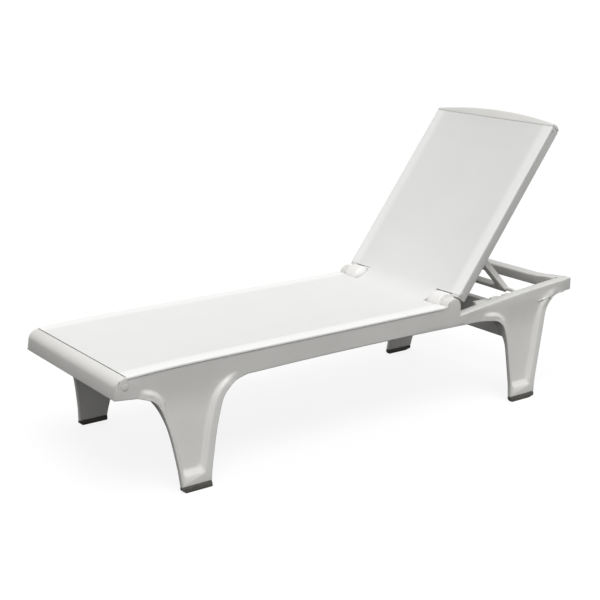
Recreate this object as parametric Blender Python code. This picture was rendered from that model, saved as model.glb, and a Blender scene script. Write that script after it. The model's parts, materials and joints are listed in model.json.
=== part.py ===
"""Reclining sun lounger: two moulded resin side frames, a sling seat and a sling backrest
that is held up by a folding stay. Metres, +Z up, X across, foot end towards -Y."""

import math

import bmesh
import bpy
from mathutils import Matrix, Vector

# ---------------------------------------------------------------- driving dimensions
LENGTH = 1.8335                 # base, from the foot lip to the rear end
X_FACE = 0.2944                 # outer face of a side rail
RAIL_WIDTH = 0.038
X_INNER = X_FACE - RAIL_WIDTH
X_FOOT = 0.3445                 # outer face of a leg at the floor
LEG_THICKNESS = 0.017           # across a leg, bead to inner face, below the shoulder
SEAT_TOP = 0.380                # top of the side rails, under the sling
LIP_BOTTOM = 0.310
NOSE_RADIUS = 0.034             # rounded foot end
NOSE_CENTRE = (0.039, 0.3395)
LEG_TOP = 0.302                 # where the legs begin to lean out
PAD_HEIGHT = 0.018
GAP = 0.0003                    # between touching pieces

HINGE = (1.2711, 0.3724)        # recline axis, along X
EAR_RADIUS = 0.0305
RECLINE = math.radians(52.7)    # modelled angle of the backrest
STAY_ARM = 0.231                # hinge to stay pivot
STAY_ARM_ANGLE = math.radians(49.5)
STAY_LENGTH = 0.242             # stay pivot to foot
STAY_DROP = math.radians(46.4)  # slope of the stay
PEG_RADIUS = 0.006

BACK_FRONT = 0.0060             # backrest rail faces, measured from the hinge plane
BACK_REAR = -0.0321
BACK_X = 0.2915
BACK_WIDTH = 0.032
BACK_SEAM = 0.714               # sling meets the top bar
BACK_END = 0.727                # top bar at its ends
BACK_CROWN = 0.750              # top bar in the middle

SLING = 0.0015                  # fabric thickness
KEDER_RADIUS = 0.0022
GROOVE_DEPTH = 0.006

MOULDED = ("moulded_resin", (0.86, 0.86, 0.84), 0.38, 0.0)
FABRIC = ("sling_mesh", (0.90, 0.90, 0.89), 0.75, 0.0)
RUBBER = ("pad_rubber", (0.10, 0.10, 0.09), 0.80, 0.0)
STEEL = ("screw_steel", (0.55, 0.55, 0.55), 0.35, 1.0)
BUSH = ("bush_nylon", (0.75, 0.75, 0.72), 0.50, 0.0)
ROD = ("keder_rod", (0.82, 0.82, 0.80), 0.55, 0.0)


# ---------------------------------------------------------------- general tools
def world(s, z, x=0.0):
    """A point from its distance behind the foot lip and its height."""
    return Vector((x, s - LENGTH / 2, z))


def material(spec):
    name, colour, roughness, metallic = spec
    found = bpy.data.materials.get(name)
    if found:
        return found
    made = bpy.data.materials.new(name)
    made.use_nodes = True
    shader = made.node_tree.nodes["Principled BSDF"]
    shader.inputs["Base Color"].default_value = (*colour, 1.0)
    shader.inputs["Roughness"].default_value = roughness
    shader.inputs["Metallic"].default_value = metallic
    return made


def keep(name, mesh_data, finish, parent=None, smooth=True):
    """Turn a bmesh into a named object with its material."""
    bmesh.ops.remove_doubles(mesh_data, verts=mesh_data.verts, dist=1e-6)
    bmesh.ops.recalc_face_normals(mesh_data, faces=mesh_data.faces)
    mesh = bpy.data.meshes.new(name)
    mesh_data.to_mesh(mesh)
    mesh_data.free()
    if smooth:
        mesh.shade_smooth()
        mesh.set_sharp_from_angle(angle=math.radians(35))
    item = bpy.data.objects.new(name, mesh)
    bpy.context.collection.objects.link(item)
    mesh.materials.append(material(finish))
    item.parent = parent
    return item


def loft_into(mesh_data, sections):
    """One closed body through outlines that all have the same number of points."""
    rings = [[mesh_data.verts.new(point) for point in outline] for outline in sections]
    for first, second in zip(rings, rings[1:]):
        for i in range(len(first)):
            j = (i + 1) % len(first)
            mesh_data.faces.new((first[i], first[j], second[j], second[i]))
    mesh_data.faces.new(rings[0])
    mesh_data.faces.new(rings[-1])


def prism_into(mesh_data, outline, x0, x1):
    """Outline of (s, z) points, extruded along X."""
    loft_into(mesh_data, [[world(s, z, x) for s, z in outline] for x in (x0, x1)])


def turned_into(mesh_data, profile, centre, segments):
    """Body turned about a line along X: profile of (x, radius) points."""
    sections = []
    for x, radius in profile:
        ring = []
        for i in range(segments):
            angle = 2 * math.pi * i / segments
            ring.append(centre + Vector((x, radius * math.cos(angle), radius * math.sin(angle))))
        sections.append(ring)
    loft_into(mesh_data, sections)


def box_outline(s0, s1, z0, z1):
    return [(s0, z0), (s1, z0), (s1, z1), (s0, z1)]


def arc(centre, radius, start, end, steps):
    """Points (s, z) on an arc; angles in degrees, 0 towards the head end, 90 up."""
    points = []
    for i in range(steps + 1):
        angle = math.radians(start + (end - start) * i / steps)
        points.append((centre[0] + radius * math.cos(angle), centre[1] + radius * math.sin(angle)))
    return points


def apply_boolean(item, tool_mesh, operation):
    """Cut or join a body, with the exact solver, and leave plain mesh behind."""
    tool = keep("tool", tool_mesh, STEEL, smooth=False)
    tool.hide_render = True
    tool.display_type = "WIRE"
    tool.parent = item.parent
    modifier = item.modifiers.new("boolean", "BOOLEAN")
    modifier.operation = operation
    modifier.object = tool
    bpy.context.view_layer.update()
    evaluated = item.evaluated_get(bpy.context.evaluated_depsgraph_get())
    result = bpy.data.meshes.new_from_object(evaluated)
    item.modifiers.remove(modifier)
    item.data = result
    bpy.data.objects.remove(tool)


def mirrored(item, name):
    """The same piece on the other side, reflected in X."""
    mesh_data = bmesh.new()
    mesh_data.from_mesh(item.data)
    for vertex in mesh_data.verts:
        vertex.co.x = -vertex.co.x
    bmesh.ops.reverse_faces(mesh_data, faces=mesh_data.faces)
    mesh = item.data.copy()
    mesh_data.to_mesh(mesh)
    mesh_data.free()
    copy = bpy.data.objects.new(name, mesh)
    bpy.context.collection.objects.link(copy)
    copy.parent = item.parent
    return copy


def pair(base_name, item):
    """Name a right-hand piece and add its left-hand twin."""
    item.name = base_name + "_right"
    mirrored(item, base_name + "_left")


def blend(a, b, t):
    return a + (b - a) * t


def smooth_step(t):
    t = min(max(t, 0.0), 1.0)
    return t * t * (3 - 2 * t)


def through(points, t):
    """Point at t (0 to the number of spans) on a smooth curve through the points."""
    i = min(int(t), len(points) - 2)
    u = t - i
    before = points[max(i - 1, 0)]
    after = points[min(i + 2, len(points) - 1)]
    result = []
    for k in range(2):
        a, b, c, d = before[k], points[i][k], points[i + 1][k], after[k]
        result.append(0.5 * (2 * b + (c - a) * u + (2 * a - 5 * b + 4 * c - d) * u ** 2
                             + (3 * b - a - 3 * c + d) * u ** 3))
    return tuple(result)


# ---------------------------------------------------------------- mechanism
def foot_at(recline):
    """Centre of the stay's pegs (s, z) when the backrest stands at an angle."""
    arm = recline - RECLINE + STAY_ARM_ANGLE
    drop = recline - RECLINE + STAY_DROP
    return (HINGE[0] + STAY_ARM * math.cos(arm) + STAY_LENGTH * math.cos(drop),
            HINGE[1] + STAY_ARM * math.sin(arm) - STAY_LENGTH * math.sin(drop))


# ---------------------------------------------------------------- side frames
ARCH_HIGH = 0.3075              # underside of the rail in mid span
ARCH_DROP = 0.006
FOOT_LEG_FRONT = [(0.0745, 0.3020), (0.115, 0.2880), (0.138, 0.2610), (0.1530, 0.2180),
                  (0.1680, 0.1550), (0.1812, 0.0640), (0.1825, 0.0460), (0.1845, PAD_HEIGHT + GAP)]
FOOT_LEG_REAR = [(0.445, 0.3032), (0.386, 0.2860), (0.352, 0.2550), (0.3320, 0.2070),
                 (0.3155, 0.1550), (0.2930, 0.0640), (0.2890, 0.0460), (0.2845, PAD_HEIGHT + GAP)]
HEAD_LEG_FRONT = [(1.400, 0.3008), (1.458, 0.2950), (1.492, 0.2700), (1.5045, 0.2200),
                  (1.5085, 0.1550), (1.5110, 0.0640), (1.5105, 0.0460), (1.5085, PAD_HEIGHT + GAP)]
HEAD_LEG_REAR = [(1.800, 0.3470), (1.739, 0.3360), (1.705, 0.2990), (1.6820, 0.2300),
                 (1.6585, 0.1550), (1.6300, 0.0640), (1.6255, 0.0460), (1.6205, PAD_HEIGHT + GAP)]
LEG_ROWS = [row / 4 for row in range(21)] + [6, 7]
LEG_COLUMNS = [0, 0.04, 0.08, 0.12, 0.17, 0.23, 0.33, 0.44, 0.55, 0.66, 0.76, 0.82, 0.87, 0.91, 0.96, 1]
FRONT_BORDER = [0, 0.0055, 0.0090, 0.0125, 0.0170, 0.0250]     # columns down the front edge, metres in
REAR_BORDER = [0.0440, 0.0360, 0.0300, 0.0240, 0.0120, 0]      # and up to the rear edge
TOE_ROW = 6                     # rows from here down have no recess
BEAD_HEIGHT = 0.010             # raised bead along the outline of each leg
BEAD_FALL = 0.013
PANEL_LEAN = 0.036              # outward lean of the recessed panel at the floor
PANEL_BEND = 0.25               # share of the leg's height over which that lean begins
SHOULDER = 0.35                 # share of the leg's height over which it thins
BEAD_COVE = 0.017               # width of the bead's flat where it curls into the rail
BEAD_FRONT = 0.0055             # and further down, on the front and rear edge
BEAD_REAR = 0.0225
BEAD_START = 0.45               # a rear bead begins this many spans below the rail
REAR_RISE = 0.0521
REAR_BOW = 0.378
EAR_BACK = HINGE[0] + EAR_RADIUS
NOSE_WALL = 0.006               # side wall beside the foot bar
NOSE_WALL_END = 0.0735
GROOVE_S = (0.09, 1.2295)       # stretch of the rail with a groove for the sling's edge


def rail_bottom(s):
    for front, rear in ((FOOT_LEG_FRONT, FOOT_LEG_REAR), (HEAD_LEG_FRONT, HEAD_LEG_REAR)):
        if front[0][0] <= s <= rear[0][0]:
            return blend(front[0][1], rear[0][1], (s - front[0][0]) / (rear[0][0] - front[0][0]))
    if s < FOOT_LEG_FRONT[0][0]:
        return blend(LIP_BOTTOM, FOOT_LEG_FRONT[0][1], s / FOOT_LEG_FRONT[0][0])
    if s < HEAD_LEG_FRONT[0][0]:
        return ARCH_HIGH - ARCH_DROP * ((s - 0.87) / 0.5) ** 2
    return HEAD_LEG_REAR[0][1] + 0.0026 * (s - HEAD_LEG_REAR[0][0]) / (LENGTH - HEAD_LEG_REAR[0][0])


def seat_line(s):
    """Top of the rail in front of the hinge ear: it falls a little to the foot end."""
    return SEAT_TOP - 0.0065 * max(0.0, 1 - (s - NOSE_CENTRE[0]) / 0.26) ** 2


def rear_line(s):
    """Top of the rail behind the hinge: a slow rise to the rear corner."""
    t = (s - EAR_BACK) / (LENGTH - EAR_BACK)
    return NOSE_CENTRE[1] + REAR_RISE * t * (1 + REAR_BOW * (1 - t))


def rim_offset(z):
    d = max(0.0, (LEG_TOP - z) / LEG_TOP)
    return (X_FOOT - X_FACE) * d + BEAD_HEIGHT * (1 - d)


def panel_offset(z):
    """The recessed panel leaves the rail's face on a soft bend, then leans out evenly."""
    d = max(0.0, (LEG_TOP - z) / LEG_TOP)
    eased = d * d / (2 * PANEL_BEND) if d < PANEL_BEND else d - PANEL_BEND / 2
    return PANEL_LEAN * eased / (1 - PANEL_BEND / 2)


def inner_offset(z):
    """The inner face: flush with the rail at the top, a thin leg's depth behind the bead below."""
    d = max(0.0, (LEG_TOP - z) / LEG_TOP)
    top_depth = RAIL_WIDTH + BEAD_HEIGHT
    depth = blend(top_depth, LEG_THICKNESS, smooth_step(d / SHOULDER))
    return rim_offset(z) + RAIL_WIDTH - depth


def bead_share(s, z, outline, width, start=0.0):
    """1 on the bead along a leg's outline, falling to 0 beside it and at the outline's upper end."""
    steps = 4 * (len(outline) - 1)
    nearest, place = 1.0, 0.0
    for i in range(steps):
        a, b = through(outline, i / 4), through(outline, (i + 1) / 4)
        run = (b[0] - a[0], b[1] - a[1])
        share = ((s - a[0]) * run[0] + (z - a[1]) * run[1]) / (run[0] ** 2 + run[1] ** 2)
        share = min(max(share, 0.0), 1.0)
        distance = math.hypot(s - a[0] - run[0] * share, z - a[1] - run[1] * share)
        if distance < nearest:
            nearest, place = distance, (i + share) / 4
    flat = blend(BEAD_COVE, width, smooth_step((place - 1) / 2))
    return smooth_step((place - start) / 0.8) * (1 - smooth_step((nearest - flat) / BEAD_FALL))


def side_face(s, z):
    """X of the outer face: flush with the rail, out along the beads, less on the leg's panel."""
    weight = 0.0
    for front, rear in ((FOOT_LEG_FRONT, FOOT_LEG_REAR), (HEAD_LEG_FRONT, HEAD_LEG_REAR)):
        if front[0][0] <= s <= rear[0][0]:
            weight = max(bead_share(s, z, front, BEAD_FRONT),
                         bead_share(s, z, rear, BEAD_REAR, BEAD_START))
    return X_FACE + blend(panel_offset(z), rim_offset(z), weight)


def leg_grid(front, rear):
    grid = []
    for t in LEG_ROWS:
        a, b = through(front, t), through(rear, t)
        width = b[0] - a[0]
        inner_run = (width - REAR_BORDER[0] - FRONT_BORDER[-1]) / width
        middle = [FRONT_BORDER[-1] / width + inner_run * i / 5 for i in range(1, 5)]
        settled = [d / width for d in FRONT_BORDER] + middle + [1 - d / width for d in REAR_BORDER]
        row = []
        for upper, lower in zip(LEG_COLUMNS, settled):
            fraction = blend(upper, lower, smooth_step(t / 1.5))
            s, z = blend(a[0], b[0], fraction), blend(a[1], b[1], fraction)
            out = X_FACE + rim_offset(z) if t >= TOE_ROW else side_face(s, z)
            row.append((s, z, out, X_INNER + inner_offset(z)))
        grid.append(row)
    return grid


def rail_columns():
    """Stations along the rail: even in the plain stretches, closer where it bends."""
    columns = [s for s, z in arc(NOSE_CENTRE, NOSE_RADIUS, 180, 90, 8)]
    columns.append(NOSE_WALL_END)
    for front, rear in ((FOOT_LEG_FRONT, FOOT_LEG_REAR), (HEAD_LEG_FRONT, HEAD_LEG_REAR)):
        columns += [blend(front[0][0], rear[0][0], fraction) for fraction in LEG_COLUMNS]
    columns += [0.60, 0.75, 0.90, 1.05, 1.18, GROOVE_S[1] - 0.0005]
    columns += [s for s, z in arc(HINGE, EAR_RADIUS, 165, 0, 12)]
    columns += [1.35, LENGTH]
    return sorted(set(round(s, 6) for s in columns))


def upper_top(s):
    """Height of the rail's top in front of the ear's rear side, nose and ear included."""
    if s < NOSE_CENTRE[0]:
        return NOSE_CENTRE[1] + math.sqrt(max(0.0, NOSE_RADIUS ** 2 - (NOSE_CENTRE[0] - s) ** 2))
    across = EAR_RADIUS ** 2 - (s - HINGE[0]) ** 2
    return max(seat_line(s) if s < HINGE[0] else HINGE[1], HINGE[1] + math.sqrt(max(0.0, across)))


def inner_face(s):
    return X_FACE - NOSE_WALL if s < NOSE_WALL_END + 0.0005 else X_INNER


def lower_grid():
    grid = []
    for s in rail_columns():
        top = NOSE_CENTRE[1] if s <= EAR_BACK + 1e-5 else rear_line(s)
        start = 0.0 if s < NOSE_CENTRE[0] - NOSE_RADIUS + 1e-5 else s
        row = []
        for t in (0, 0.15, 0.3, 0.45, 0.6, 0.8, 1):
            z = blend(rail_bottom(start), top, t)
            row.append((blend(start, s, t), z, side_face(s, z), inner_face(s)))
        grid.append(row)
    return grid


def upper_grid():
    """Side of the rail above the nose line, with the groove that takes the sling's edge rod."""
    grid = []
    for s in rail_columns():
        if s > EAR_BACK + 1e-5:
            continue
        top = upper_top(s)
        height = top - NOSE_CENTRE[1]
        scale = min(1.0, height / NOSE_RADIUS)
        depth = GROOVE_DEPTH if GROOVE_S[0] < s < GROOVE_S[1] else 0.0
        row = [(s, NOSE_CENTRE[1], X_FACE, inner_face(s))]
        for below, cut in ((0.0120, 0), (0.0112, depth), (0.0062, depth), (0.0054, 0), (0, 0)):
            row.append((s, top - below * scale, X_FACE - cut, inner_face(s)))
        grid.append(row)
    return grid


def sheet_pair(grids):
    """Close the outer and inner skins of a plate whose thickness varies from point to point."""
    mesh_data = bmesh.new()
    outer, inner = {}, {}
    for grid in grids:
        for row in grid:
            for s, z, out, back in row:
                key = (round(s, 5), round(z, 5))
                if key not in outer:
                    outer[key] = mesh_data.verts.new(world(s, z, out))
                    inner[key] = mesh_data.verts.new(world(s, z, back))
    edges = {}
    for grid in grids:
        for first, second in zip(grid, grid[1:]):
            for i in range(len(first) - 1):
                corners = [first[i], first[i + 1], second[i + 1], second[i]]
                keys = []
                for s, z, out, back in corners:
                    key = (round(s, 5), round(z, 5))
                    if key not in keys:
                        keys.append(key)
                if len(keys) < 3:
                    continue
                mesh_data.faces.new([outer[key] for key in keys])
                mesh_data.faces.new([inner[key] for key in reversed(keys)])
                for a, b in zip(keys, keys[1:] + keys[:1]):
                    edges.setdefault(frozenset((a, b)), []).append((a, b))
    for uses in edges.values():
        if len(uses) == 1:
            a, b = uses[0]
            mesh_data.faces.new((outer[b], outer[a], inner[a], inner[b]))
    return mesh_data


PLUG_CENTRE = (0.036, 0.345)
PLUG_RADIUS = 0.0112
LUG_X = (0.2570, 0.2715)        # backrest lug between the ear and the hinge cover
PIN_RADIUS = 0.008
BUSH_RADIUS = 0.011
PIN_X = (0.200, 0.288)


def side_frame():
    """Rail, both legs and the hinge ear, moulded in one."""
    grids = [lower_grid(), upper_grid(), leg_grid(FOOT_LEG_FRONT, FOOT_LEG_REAR),
             leg_grid(HEAD_LEG_FRONT, HEAD_LEG_REAR)]
    frame = keep("side_frame", sheet_pair(grids), MOULDED)
    cuts = bmesh.new()
    slot = box_outline(HINGE[0] - 0.0315, EAR_BACK + 0.004, NOSE_CENTRE[1] + 0.0008, 0.42)
    prism_into(cuts, slot, X_INNER - 0.01, LUG_X[1] + 0.0007)
    turned_into(cuts, [(0.28, PLUG_RADIUS + GAP), (0.30, PLUG_RADIUS + GAP)], world(*PLUG_CENTRE), 20)
    apply_boolean(frame, cuts, "DIFFERENCE")
    holes = bmesh.new()
    turned_into(holes, [(LUG_X[1] - 0.001, PIN_RADIUS + GAP), (PIN_X[1] + GAP, PIN_RADIUS + GAP)],
                world(*HINGE), 16)
    for s, z in sum(SCREW_PLACES.values(), []):
        turned_into(holes, [(X_INNER - 0.004, SCREW_SHANK + GAP), (X_INNER + 0.0155, SCREW_SHANK + GAP)],
                    world(s, z), 8)
    apply_boolean(frame, holes, "DIFFERENCE")
    pair("side_frame", frame)


# ---------------------------------------------------------------- cross members of the base
BAR_STATIONS = {"seat_cross_bar_front": 0.46, "seat_cross_bar_middle": 0.83,
                "seat_cross_bar_rear": 1.195}
BAR_HALF = 0.018
BAR_Z = (0.3125, 0.3420)
BAR_WALL = 0.004
FLANGE_THICKNESS = 0.0040
FLANGE_HALF = 0.031
FLANGE_Z = (0.3115, 0.3500)
SCREW_SHANK = 0.0022
SCREW_HEAD = 0.0048
REAR_BAR_S = (1.787, LENGTH)
REAR_BAR_Z = (0.3500, 0.3900)
REAR_BAR_DIP = 0.011
BRACE_S = (1.520, 1.545)
BRACE_Z = (0.2220, 0.3330)
SCREW_PLACES = {name: [(s + offset, 0.331) for offset in (-0.025, 0.025)]
                for name, s in BAR_STATIONS.items()}
SCREW_PLACES["head_leg_brace"] = [(1.562, 0.318), (1.588, 0.318)]


def foot_bar():
    """Rounded end bar, an open C in section, with a plate at each end."""
    x = X_FACE - NOSE_WALL - GAP
    inner = NOSE_RADIUS - 0.005
    outline = arc(NOSE_CENTRE, NOSE_RADIUS, 90, 180, 8) + [(GAP, LIP_BOTTOM), (0.0053, LIP_BOTTOM)]
    outline += arc(NOSE_CENTRE, inner, 180, 90, 6)
    outline += [(0.065, 0.3660), (0.065, 0.3200), (0.070, 0.3200), (0.070, 0.3712), (0.0395, 0.3712)]
    bar = bmesh.new()
    prism_into(bar, outline, -x, x)
    bar_item = keep("foot_bar", bar, MOULDED)
    plate = arc(NOSE_CENTRE, NOSE_RADIUS - 0.002, 90, 180, 6)
    plate += [(0.003, 0.322), (0.068, 0.322), (0.068, 0.3690)]
    plates = bmesh.new()
    for side in (-1, 1):
        prism_into(plates, plate, side * x, side * (x - 0.005))
    apply_boolean(bar_item, plates, "UNION")
    holes = bmesh.new()
    for side in (-1, 1):
        centre = world(PLUG_CENTRE[0], PLUG_CENTRE[1])
        turned_into(holes, [(side * (x - 0.02), SCREW_SHANK + GAP), (side * (x + 0.01), SCREW_SHANK + GAP)],
                    centre, 8)
    apply_boolean(bar_item, holes, "DIFFERENCE")


def seat_cross_bars():
    """Channel bars between the side rails, each with a screwed flange at both ends."""
    x = X_INNER - GAP
    for name, s in BAR_STATIONS.items():
        channel = [(s - BAR_HALF, BAR_Z[0]), (s - BAR_HALF, BAR_Z[1]), (s + BAR_HALF, BAR_Z[1]),
                   (s + BAR_HALF, BAR_Z[0]), (s + BAR_HALF - BAR_WALL, BAR_Z[0]),
                   (s + BAR_HALF - BAR_WALL, BAR_Z[1] - BAR_WALL),
                   (s - BAR_HALF + BAR_WALL, BAR_Z[1] - BAR_WALL), (s - BAR_HALF + BAR_WALL, BAR_Z[0])]
        mesh_data = bmesh.new()
        prism_into(mesh_data, channel, -x + 0.001, x - 0.001)
        bar = keep(name, mesh_data, MOULDED)
        flanges = bmesh.new()
        outline = box_outline(s - FLANGE_HALF, s + FLANGE_HALF, *FLANGE_Z)
        for side in (-1, 1):
            prism_into(flanges, outline, side * x, side * (x - FLANGE_THICKNESS))
        apply_boolean(bar, flanges, "UNION")
        holes = bmesh.new()
        for side in (-1, 1):
            for place in SCREW_PLACES[name]:
                turned_into(holes, [(side * (x - 0.01), SCREW_SHANK + GAP),
                                    (side * (x + 0.01), SCREW_SHANK + GAP)], world(*place), 8)
        apply_boolean(bar, holes, "DIFFERENCE")


def rear_cross_bar():
    """Bar across the rear corners; its top dips in the middle."""
    sections = []
    limit = X_INNER - GAP
    for i in range(13):
        x = blend(-limit, limit, i / 12)
        top = REAR_BAR_Z[1] - REAR_BAR_DIP * smooth_step((1 - abs(x) / limit) / 0.45)
        s0, s1 = REAR_BAR_S
        outline = [(s0, REAR_BAR_Z[0] - 0.006), (s1, REAR_BAR_Z[0]), (s1, top - 0.003),
                   (s1 - 0.003, top), (s0 + 0.003, top), (s0, top - 0.003)]
        sections.append([world(s, z, x) for s, z in outline])
    mesh_data = bmesh.new()
    loft_into(mesh_data, sections)
    keep("rear_cross_bar", mesh_data, MOULDED)


def leg_brace():
    """Deep board that ties the two head legs, with a flange on each rail."""
    mesh_data = bmesh.new()
    sections = []
    heights = [BRACE_Z[0], 0.242, 0.262, 0.282, LEG_TOP, BRACE_Z[1]]
    right = [(X_INNER + inner_offset(z) - 4 * GAP, z) for z in heights]
    outline = right + [(-x, z) for x, z in reversed(right)]
    for s in BRACE_S:
        sections.append([world(s, z, x) for x, z in outline])
    loft_into(mesh_data, sections)
    brace = keep("head_leg_brace", mesh_data, MOULDED)
    flanges = bmesh.new()
    x = X_INNER - GAP
    for side in (-1, 1):
        prism_into(flanges, box_outline(BRACE_S[1] - 0.004, 1.600, 0.3050, BRACE_Z[1] - 0.001),
                   side * x, side * (x - FLANGE_THICKNESS))
    apply_boolean(brace, flanges, "UNION")
    holes = bmesh.new()
    for side in (-1, 1):
        for place in SCREW_PLACES["head_leg_brace"]:
            turned_into(holes, [(side * (x - 0.01), SCREW_SHANK + GAP),
                                (side * (x + 0.01), SCREW_SHANK + GAP)], world(*place), 8)
    apply_boolean(brace, holes, "DIFFERENCE")


def screw_into(mesh_data, centre, tip, head):
    """Pan-head screw along X: the head's flat side at x = head, its point at x = tip."""
    step = 1 if tip > head else -1
    profile = [(head - step * 0.0026, SCREW_HEAD * 0.6), (head - step * 0.0014, SCREW_HEAD),
               (head, SCREW_HEAD), (head, SCREW_SHANK), (tip - step * 0.003, SCREW_SHANK), (tip, 0.0008)]
    turned_into(mesh_data, profile, centre, 8)


def screws():
    """Two screws through each flange into the rail, and one into each end of the foot bar."""
    head = X_INNER - GAP - FLANGE_THICKNESS - GAP
    for bar, places in SCREW_PLACES.items():
        for number, place in enumerate(places, start=1):
            mesh_data = bmesh.new()
            screw_into(mesh_data, world(*place), X_INNER + 0.015, head)
            pair(f"{bar}_screw_{number}", keep("screw", mesh_data, STEEL))
    mesh_data = bmesh.new()
    screw_into(mesh_data, world(*PLUG_CENTRE), 0.2750, X_FACE - NOSE_WALL)
    pair("foot_bar_screw", keep("screw", mesh_data, STEEL))


def end_plugs():
    """Button that hides the foot bar's screw in the side wall."""
    mesh_data = bmesh.new()
    profile = [(X_FACE - 0.0028, PLUG_RADIUS - 0.0004), (X_FACE + 0.0003, PLUG_RADIUS),
               (X_FACE + 0.0010, PLUG_RADIUS - 0.002), (X_FACE + 0.0012, PLUG_RADIUS * 0.4)]
    turned_into(mesh_data, profile, world(*PLUG_CENTRE), 20)
    pair("end_plug", keep("end_plug", mesh_data, MOULDED))


def foot_pads():
    """Rubber shoes under the legs; the head pair curve up at the rear."""
    for name, front, rear, toe in (("foot_pad", FOOT_LEG_FRONT, FOOT_LEG_REAR, (0.011, 0.002)),
                                   ("head_pad", HEAD_LEG_FRONT, HEAD_LEG_REAR, (0.006, 0.022))):
        s0, s1 = front[-1][0], rear[-1][0]
        lower = [(s0 + toe[0], 0.0), (s1 - toe[1], 0.0), (s1 + 0.001, 0.006 if toe[1] > 0.01 else 0.003),
                 (s1, PAD_HEIGHT), (s0, PAD_HEIGHT), (s0 - 0.001, 0.009)]
        mesh_data = bmesh.new()
        out, back = X_FACE + rim_offset(PAD_HEIGHT), X_INNER + inner_offset(PAD_HEIGHT)
        sections = []
        for share in (0, 1):
            section = []
            for s, z in lower:
                lean = (X_FOOT - out) * (1 - z / PAD_HEIGHT)
                section.append(world(s, z, blend(back, out, share) + lean))
            sections.append(section)
        loft_into(mesh_data, sections)
        pair(name, keep(name, mesh_data, RUBBER))


RACK_S = (1.405, 1.785)
RACK_X = 0.2400
RACK_DEPTH = 0.024
NOTCH_DEPTH = 0.0075
NOTCH_ANGLES = (69, 61, 52.7, 42, 29, 10)
PEG_CLEARANCE = 0.0010
NOTCH_RAMP = 0.016              # a ramp leads down into each notch from the front
NOTCH_FRONT = 0.0060            # half widths of a notch's floor, before and behind the peg
NOTCH_BACK = 0.0055
NOTCH_RISE = 0.0020             # run of the steep rear wall


def rack_height(s):
    """Highest the rack may stand at s without touching the pegs' path."""
    low, high = math.radians(5), math.radians(72)
    for _ in range(30):
        middle = (low + high) / 2
        if foot_at(middle)[0] > s:
            low = middle
        else:
            high = middle
    return foot_at(low)[1] - PEG_RADIUS - PEG_CLEARANCE


def ratchet_racks():
    """Toothed strips inside the rear rails; the stay's pegs drop into the notches."""
    rests = [foot_at(math.radians(recline))[0] for recline in NOTCH_ANGLES]
    top = [(RACK_S[0], rack_height(rests[0]))]
    for s, following in zip(rests, rests[1:] + [RACK_S[1] + NOTCH_RAMP]):
        floor = rack_height(s) - NOTCH_DEPTH
        start, end = s - NOTCH_RAMP, s + NOTCH_BACK + NOTCH_RISE
        top += [(start, rack_height(start)), (s - NOTCH_FRONT, floor), (s + NOTCH_BACK, floor),
                (end, rack_height(end))]
        run = following - NOTCH_RAMP - end
        if run > NOTCH_RAMP / 2:
            top += [(end + run * share, rack_height(end + run * share)) for share in (0.25, 0.5, 0.75)]
    top.append((RACK_S[1], rack_height(RACK_S[1])))
    outline = [(RACK_S[0], top[0][1] - RACK_DEPTH)] + top + [(RACK_S[1], top[-1][1] - RACK_DEPTH)]
    mesh_data = bmesh.new()
    prism_into(mesh_data, outline, RACK_X, X_INNER - GAP)
    pair("ratchet_rack", keep("ratchet_rack", mesh_data, MOULDED, smooth=False))


# ---------------------------------------------------------------- hinge
COVER_X = 0.186                 # inner end of the round cover
COVER_NOSE = 0.020              # length of its domed end
COVER_RADIUS = 0.041
COVER_EDGE = 0.003


def hinge_parts():
    axis = world(*HINGE)
    cover = bmesh.new()
    outer = X_INNER - GAP
    profile = []
    for i in range(9):
        angle = math.radians(4 + 86 * i / 8)
        profile.append((COVER_X + COVER_NOSE * (1 - math.cos(angle)), COVER_RADIUS * math.sin(angle)))
    profile += [(outer - COVER_EDGE, COVER_RADIUS), (outer, COVER_RADIUS - COVER_EDGE),
                (outer, PIN_RADIUS + GAP), (PIN_X[0] - GAP, PIN_RADIUS + GAP)]
    turned_into(cover, profile, axis, 32)
    pair("hinge_cover", keep("hinge_cover", cover, MOULDED))
    pin = bmesh.new()
    turned_into(pin, [(PIN_X[0], PIN_RADIUS - 0.001), (PIN_X[0] + 0.001, PIN_RADIUS),
                      (PIN_X[1] - 0.001, PIN_RADIUS), (PIN_X[1], PIN_RADIUS - 0.001)], axis, 16)
    pair("hinge_pin", keep("hinge_pin", pin, STEEL))


def hinge_bushes(backrest):
    bush = bmesh.new()
    x0, x1 = LUG_X
    inner, outer = PIN_RADIUS + GAP, BUSH_RADIUS
    ring = [(x0, inner), (x0, outer), (x1, outer), (x1, inner)]
    rings = []
    for x, radius in ring:
        rings.append([bush.verts.new((x, radius * math.cos(a), radius * math.sin(a)))
                      for a in (2 * math.pi * i / 16 for i in range(16))])
    for first, second in zip(rings, rings[1:] + rings[:1]):
        for i in range(16):
            j = (i + 1) % 16
            bush.faces.new((first[i], first[j], second[j], second[i]))
    pair("hinge_bush", keep("hinge_bush", bush, BUSH, backrest))


# ---------------------------------------------------------------- backrest, in its own frame
def local_prism(mesh_data, outline, x0, x1):
    """Outline of (along, out) points in the backrest's frame, extruded along X."""
    loft_into(mesh_data, [[Vector((x, a, b)) for a, b in outline] for x in (x0, x1)])


BACK_START = 0.0365             # lower end of the rails, clear of the ear
BACK_GROOVE_START = 0.055


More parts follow.
